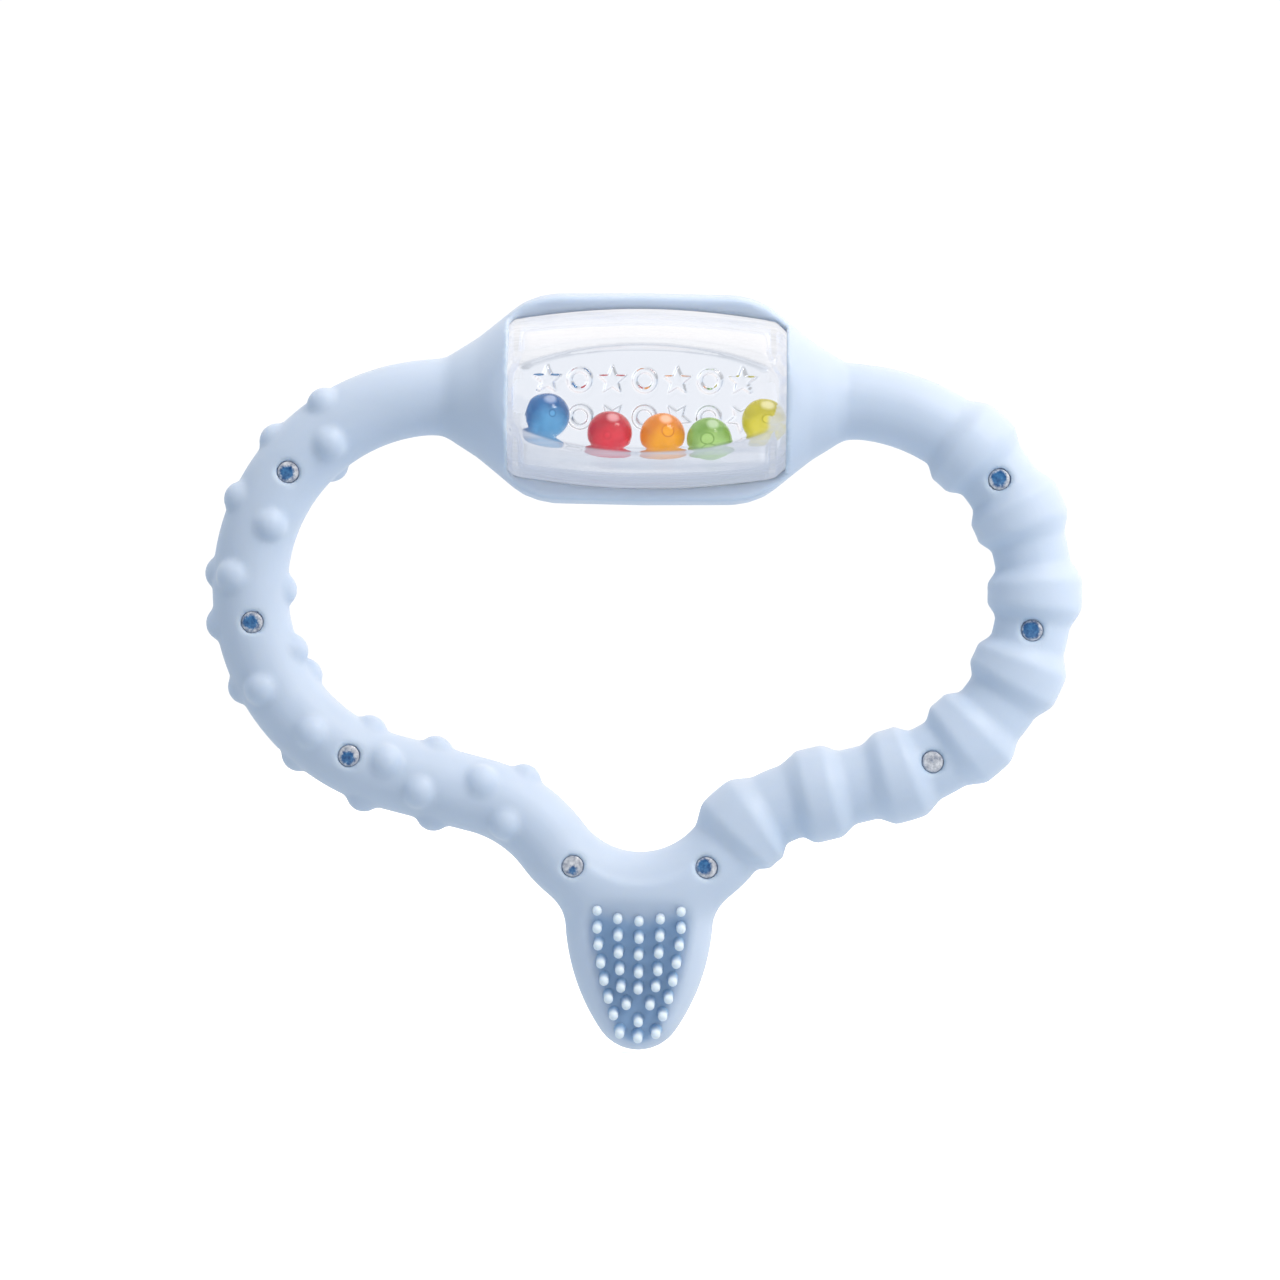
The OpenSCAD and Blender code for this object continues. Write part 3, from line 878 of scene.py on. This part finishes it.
class Nodes:
    """Short way to write the nodes of a material or a world. A source is a (node, output) pair."""

    def __init__(self, owner):
        owner.use_nodes = True
        self.owner = owner
        self.tree = owner.node_tree
        self.tree.nodes.clear()

    def put(self, value, node, entry):
        """Give an input of a node a plain value, or link it to a source."""
        if isinstance(value, tuple) and isinstance(value[0], bpy.types.Node):
            source, output = value
            self.tree.links.new(source.outputs[output], node.inputs[entry])
        else:
            node.inputs[entry].default_value = value

    def fill(self, node, entries):
        """Give the first inputs of a node values or sources, in order."""
        for i, value in enumerate(entries):
            self.put(value, node, i)
        return node

    def add(self, kind, **inputs):
        """A node, with values or sources for its inputs by name."""
        node = self.tree.nodes.new(kind)
        for key, value in inputs.items():
            self.put(value, node, key.replace("_", " "))
        return node

    def math(self, operation, *entries, clamp=False):
        node = self.add("ShaderNodeMath")
        node.operation = operation
        node.use_clamp = clamp
        return self.fill(node, entries), "Value"

    def vector(self, operation, output, *entries):
        node = self.add("ShaderNodeVectorMath")
        node.operation = operation
        return self.fill(node, entries), output

    def remap(self, source, low, high, to_low=0, to_high=1, smooth=False):
        """Number that runs from to_low to to_high while the source runs from low to high."""
        node = self.add("ShaderNodeMapRange", Value=source, From_Min=low, From_Max=high,
                        To_Min=to_low, To_Max=to_high)
        node.interpolation_type = "SMOOTHSTEP" if smooth else "LINEAR"
        return node, "Result"

    def colours(self, source, first, second, low=0, high=1):
        """Colour that runs from first to second while the source runs from low to high."""
        node = self.add("ShaderNodeValToRGB", Fac=source)
        start, end = node.color_ramp.elements
        start.position = low
        start.color = (*first, 1)
        end.position = high
        end.color = (*second, 1)
        return node, "Color"

    def blend(self, share, first, second):
        """Blend of two colours: inputs 6 and 7 and output 2 are the colour ones of this node."""
        node = self.add("ShaderNodeMix")
        node.data_type = "RGBA"
        self.put(share, node, 0)
        self.put(first, node, 6)
        self.put(second, node, 7)
        return node, 2

    def mix(self, share, first, second):
        """Blend of two shaders."""
        return self.fill(self.add("ShaderNodeMixShader"), (share, first, second)), "Shader"

    def glow(self, colour, strength):
        return self.add("ShaderNodeEmission", Color=colour, Strength=strength), "Emission"

    def place(self):
        return self.add("ShaderNodeTexCoord"), "Object"

    def axis(self, letter):
        return self.add("ShaderNodeSeparateXYZ", Vector=self.place()), letter

    def path(self, output):
        return self.add("ShaderNodeLightPath"), output

    def attribute(self, name):
        node = self.add("ShaderNodeAttribute")
        node.attribute_name = name
        return node, "Fac"

    def noise(self, scale, detail, roughness=0.55, stretch=(1, 1, 1)):
        spot = self.add("ShaderNodeMapping", Vector=self.place(), Scale=stretch)
        texture = self.add("ShaderNodeTexNoise", Vector=(spot, "Vector"), Scale=scale, Detail=detail,
                           Roughness=roughness)
        return texture, "Fac"

    def bump(self, height, strength, distance):
        return self.add("ShaderNodeBump", Height=height, Strength=strength, Distance=distance), "Normal"

    def facing(self, direction, low, high):
        """1 where the surface faces a direction and 0 where it faces away, with a smooth step between."""
        normal = self.add("ShaderNodeNewGeometry"), "Normal"
        dot = self.vector("DOT_PRODUCT", "Value", normal, Vector(direction).normalized())
        return self.remap(dot, low, high, smooth=True)

    def finish(self, surface, kind="ShaderNodeOutputMaterial"):
        self.add(kind, Surface=surface)
        return self.owner


def painted_hollow_shade(m):
    """Share of painted shade: deep blue painted into crevices that ambient occlusion finds away from the
    capsule, and into the dish under the bristles. Light that bounces about in hollows takes on more of the
    silicone's own colour.
    """
    openness = m.add("ShaderNodeAmbientOcclusion", Distance=5 * MM)
    openness.samples = 8
    openness.only_local = True
    hollow = m.remap((openness, "AO"), 0.97, 0.4)
    off_capsule = m.math("SUBTRACT", 1, m.attribute("by_capsule"), clamp=True)
    crevice = m.math("MULTIPLY", hollow, off_capsule)
    return m.math("MAXIMUM", crevice, m.attribute("dish"))


def light_let_through(m):
    """Strength of the light that comes through the silicone, behind the core and on the window's lip."""
    behind = m.math("GREATER_THAN", m.path("Transmission Depth"), 0.5)
    rise = m.remap(m.axis("Z"), (TOP_Z - 10) * MM, (TOP_Z + 8) * MM, 0.32, 0.62)
    inside = m.math("MULTIPLY", behind, rise)
    return m.math("MULTIPLY_ADD", m.attribute("lip"), 0.08, inside)


def silicone_material(name, base, thin=False):
    """Soft silicone. thin is for the bristles: their paler colour is painted light, for the light that
    passes their thin tips, and the deeper blue towards the root is painted shade.
    """
    m = Nodes(bpy.data.materials.new(name))
    patches = m.noise(90, 3)
    tint = m.colours(patches, [c * 0.97 for c in base], [c * 1.02 for c in base], 0.3, 0.7)
    # Painted shade: how much deep blue shows, towards the bristles' roots or in hollows, crevices and the
    # dish
    share = m.attribute("root") if thin else painted_hollow_shade(m)
    shader = m.add("ShaderNodeBsdfPrincipled", IOR=1.41, Sheen_Weight=0.2, Sheen_Roughness=0.5,
                   Base_Color=m.blend(share, tint, HOLLOW_SHADE_BLUE),
                   Roughness=m.remap(patches, 0, 1, 0.42, 0.58),
                   Normal=m.bump(m.noise(2500, 5, 0.6), 0.12, 0.06 * MM),
                   Subsurface_Weight=0.35, Subsurface_Radius=(0.7, 0.9, 1.2), Subsurface_Scale=1.5 * MM,
                   Emission_Color=(0.86, 0.9, 1, 1), Emission_Strength=light_let_through(m))
    return m.finish((shader, "BSDF"))


def wall_glow(m):
    """Painted light: a glow for the light scattered by the curved wall, white above the middle of the
    capsule and blue grey below it.
    """
    rise = m.remap(m.axis("Z"), (TOP_Z - 9) * MM, (TOP_Z + 8) * MM)
    return m.glow(m.colours(rise, (0.5, 0.56, 0.68), (0.97, 0.97, 0.99)), 1)


def wall_glow_share(m):
    """The painted glow lies in long streaks, and only what the camera sees directly has it."""
    streaks = m.remap(m.noise(700, 3, 0.6, (0.06, 0.6, 1)), 0.35, 0.65, 0.45, 0.85)
    amount = m.math("MULTIPLY", m.attribute("wall_glow"), streaks)
    return m.math("MULTIPLY", amount, m.path("Is Camera Ray"))


def clear_material(name):
    """Clear plastic that bends light, with painted shade making the outlines of its relief and the edges of
    its panels a little darker.
    """
    m = Nodes(bpy.data.materials.new(name))
    tint = m.colours(m.attribute("outline"), (0.975, 0.975, 0.99), (0.45, 0.48, 0.56))
    shader = m.add("ShaderNodeBsdfPrincipled", Base_Color=tint, Roughness=0.02, IOR=1.5,
                   Transmission_Weight=1, Normal=m.bump(m.noise(120, 2), 0.25, 0.1 * MM))
    # Light that has bounced many times inside the walls comes out as a soft glow
    deep = m.math("GREATER_THAN", m.path("Ray Depth"), 6.5)
    trapped = m.math("GREATER_THAN", m.path("Glossy Depth"), 2.5)
    spent = m.math("MAXIMUM", deep, trapped)
    plastic = m.mix(spent, (shader, "BSDF"), m.glow((0.86, 0.9, 0.97, 1), 0.75))
    return m.finish(m.mix(wall_glow_share(m), plastic, wall_glow(m)))


def lens_material(name):
    """Each boss is a lens; what it shows of the blue silicone behind it is painted on, as a dark drop with a
    pale crescent.
    """
    m = Nodes(bpy.data.materials.new(name))
    swirl = m.noise(1500, 3, 0.7)
    wobble = m.math("MULTIPLY_ADD", swirl, 0.8, -0.4)
    ragged = m.math("ADD", m.attribute("from_drop"), wobble)
    reach = m.math("MULTIPLY", m.attribute("drop"), 0.85)
    depth = m.math("SUBTRACT", reach, ragged)
    in_drop = m.math("MULTIPLY_ADD", depth, 3.5, 0.4, clamp=True)
    at_foot = m.math("MULTIPLY_ADD", m.attribute("from_middle"), 8, -7.4, clamp=True)
    pale = m.colours(swirl, (0.2, 0.23, 0.3), (0.6, 0.63, 0.68), 0.3, 0.65)
    blue = m.colours(swirl, (0.008, 0.05, 0.17), (0.06, 0.2, 0.42), 0.3, 0.7)
    # Painted shade: a dark line runs round the foot of the boss, in the gap between it and the silicone
    tint = m.blend(at_foot, m.blend(in_drop, pale, blue), (0.2, 0.26, 0.38, 1))
    shader = m.add("ShaderNodeBsdfPrincipled", Base_Color=tint, Roughness=0.08, IOR=1.5,
                   Normal=m.bump(swirl, 0.5, 0.1 * MM))
    return m.finish((shader, "BSDF"))


def seam_material(name):
    """The two halves are welded, so light passes their joint without bending."""
    m = Nodes(bpy.data.materials.new(name))
    return m.finish((m.add("ShaderNodeBsdfTransparent"), "BSDF"))


def bead_material(name, deep, bright, bubble):
    """Tinted clear plastic: deep colour above, where the light enters, and bright below, where it gathers.
    bubble is the direction and size of the outline of a pocket of air inside."""
    m = Nodes(bpy.data.materials.new(name))
    swirl = m.noise(420, 2)
    gathered = m.facing((0.2, -0.8, -0.55), 0.3, 0.98)
    wavy = m.math("MULTIPLY_ADD", swirl, 0.9, -0.45)
    level = m.math("ADD", gathered, wavy, clamp=True)
    direction, size = bubble
    whole = m.facing(direction, 1 - size, 1 - 0.8 * size)
    middle = m.facing(direction, 1 - 0.7 * size, 1 - 0.45 * size)
    ring = m.math("SUBTRACT", whole, middle, clamp=True)
    ringed = m.math("MULTIPLY_ADD", ring, -0.9, level, clamp=True)
    lit = m.math("MULTIPLY_ADD", middle, 0.35, ringed, clamp=True)
    tint = m.colours(lit, deep, bright)
    # Glow of the light gathered inside, and a soft reflection of the studio's lamp
    shine = m.facing((0.15, -0.66, 0.74), 0.93, 0.995)
    whitened = m.blend(m.math("MULTIPLY", shine, 0.65), tint, (1, 1, 1, 1))
    shader = m.add("ShaderNodeBsdfPrincipled", Base_Color=tint, Roughness=0.06, IOR=1.46,
                   Transmission_Weight=0.35, Specular_IOR_Level=0.3, Normal=m.bump(swirl, 0.2, 0.1 * MM),
                   Emission_Color=whitened, Emission_Strength=m.math("MULTIPLY_ADD", shine, 0.35, 0.24))
    return m.finish((shader, "BSDF"))


# Painted shade: deep blue for hollows, crevices, the dish and the bristles' roots
HOLLOW_SHADE_BLUE = (0.21, 0.38, 0.61, 1)
SILICONE = silicone_material("silicone_blue", (0.47, 0.568, 0.71))
# The bristles' paler base is painted light, and their roots get painted shade
BRISTLE_SILICONE_LIT_AND_SHADED = silicone_material("silicone_blue_bristles_lit_and_shaded", (0.6, 0.7, 0.8), thin=True)
CLEAR = clear_material("clear_plastic")
SEAM = seam_material("welded_seam")
LENS = lens_material("clear_boss")

# ---- Pieces ----

skin = silicone_piece()
skin.data.materials.append(SILICONE)
bristles = bristle_piece()
bristles.data.materials.append(BRISTLE_SILICONE_LIT_AND_SHADED)
for piece in (skin, bristles):
    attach(piece, "ring")
    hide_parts("silicone_ring")

for place, side in (("front", -1), ("rear", 1)):
    half = core_half_piece(f"clear_{place}_half", side)
    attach(half, "ring")
    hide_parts(f"core_{place}_half")

# Deep and bright colour, seed, and direction and size of the air pocket of each bead
BEADS = {
    "blue": ((0.012, 0.12, 0.34), (0.13, 0.44, 0.74), 3, ((0.25, -0.95, 0.1), 0.015)),
    "red": ((0.50, 0.006, 0.025), (0.88, 0.03, 0.06), 5, ((-0.1, -0.98, -0.1), 0.02)),
    "orange": ((0.72, 0.23, 0.0), (1.0, 0.47, 0.0), 7, ((0.25, -0.93, 0.2), 0.05)),
    "green": ((0.22, 0.42, 0.07), (0.50, 0.75, 0.24), 9, ((-0.1, -0.99, 0.05), 0.06)),
    "yellow": ((0.56, 0.50, 0.01), (0.92, 0.83, 0.08), 13, ((0.15, -0.98, 0.1), 0.03)),
}
for colour, (deep, bright, seed, bubble) in BEADS.items():
    node = f"bead_{colour}"
    bead = bead_piece(f"rattle_bead_{colour}", node, seed)
    bead.data.materials.append(bead_material(f"tinted_plastic_{colour}", deep, bright, bubble))
    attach(bead, f"{colour}_bead")
    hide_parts(node)

# ---- Floor, light and camera ----

def floor_material():
    m = Nodes(bpy.data.materials.new("floor_paint"))
    paint = m.add("ShaderNodeBsdfDiffuse", Color=(0.9, 0.9, 0.9, 1)), "BSDF"
    seen = m.fill(m.add("ShaderNodeAddShader"), (paint, m.glow((1, 1, 1, 1), 0.45))), "Shader"
    # Only the light it throws on the object grows brighter to the right
    unseen = m.glow((0.92, 0.96, 1, 1), m.remap(m.axis("X"), -0.2, 0.2, 0.62, 1.3))
    return m.finish(m.mix(m.path("Is Camera Ray"), unseen, seen))


def stage_floor():
    half = 4
    drop = 0.0003
    mesh = bpy.data.meshes.new("floor")
    corners = [(-half, -half, 0), (half, -half, 0), (half, half, 0), (-half, half, 0)]
    mesh.from_pydata(corners, [], [(0, 1, 2, 3)])
    mesh.materials.append(floor_material())
    obj = bpy.data.objects.new("floor", mesh)
    bpy.context.scene.collection.objects.link(obj)
    obj.location.z = -drop


def studio_world():
    """Soft light from all round, brighter from the upper right and dimmer from the lower left."""
    world = bpy.data.worlds.new("studio")
    bpy.context.scene.world = world
    m = Nodes(world)
    towards = m.add("ShaderNodeTexCoord"), "Generated"
    side = m.vector("DOT_PRODUCT", "Value", towards, (0.6, -0.05, 0.74))
    # Each colour has its own contrast: warm white on the bright side, pale blue on the dim side
    colour = m.vector("MULTIPLY_ADD", "Vector", side, (0.74, 0.52, 0.33), (0.93, 0.96, 1))
    # The room behind the camera is darker, so that the clear walls reflect little of it; what is seen
    # through them stays bright from every side
    depth = m.add("ShaderNodeSeparateXYZ", Vector=towards), "Y"
    room = m.remap(depth, -0.95, -0.7, 0.2, 1, smooth=True)
    strength = m.math("MAXIMUM", room, m.path("Is Transmission Ray"))
    light = m.add("ShaderNodeBackground", Color=colour, Strength=strength), "Background"
    plain = m.add("ShaderNodeBackground", Color=(1, 1, 1, 1), Strength=1.05), "Background"
    m.finish(m.mix(m.path("Is Camera Ray"), light, plain), "ShaderNodeOutputWorld")


def stage_lamp(name, place, size, power, aim):
    lamp = bpy.data.lights.new(name, "AREA")
    lamp.shape = "SQUARE"
    lamp.size = size
    lamp.energy = power
    lamp.color = (1, 0.96, 0.9)
    obj = bpy.data.objects.new(name, lamp)
    obj.location = place
    obj.rotation_euler = (Vector(aim) - Vector(place)).to_track_quat("-Z", "Y").to_euler()
    bpy.context.scene.collection.objects.link(obj)


def stage_camera():
    distance = 1500
    seen_width = 166.4
    middle = (-0.26, 53.3)
    camera = bpy.data.cameras.new("camera")
    camera.sensor_width = 36
    camera.lens = camera.sensor_width * distance / seen_width
    camera.clip_start = 0.01
    camera.clip_end = 20
    obj = bpy.data.objects.new("camera", camera)
    obj.location = (middle[0] * MM, -distance * MM, middle[1] * MM)
    roll = math.radians(0.6)
    obj.rotation_euler = (Matrix.Rotation(math.pi / 2, 3, "X") @ Matrix.Rotation(roll, 3, "Z")).to_euler()
    bpy.context.scene.collection.objects.link(obj)
    bpy.context.scene.camera = obj


stage_floor()
studio_world()
stage_lamp("key", (0.45, -0.4, 0.65), 0.3, 3.5, (0, 0, 0.05))
stage_camera()
bpy.context.scene.view_settings.view_transform = "Standard"
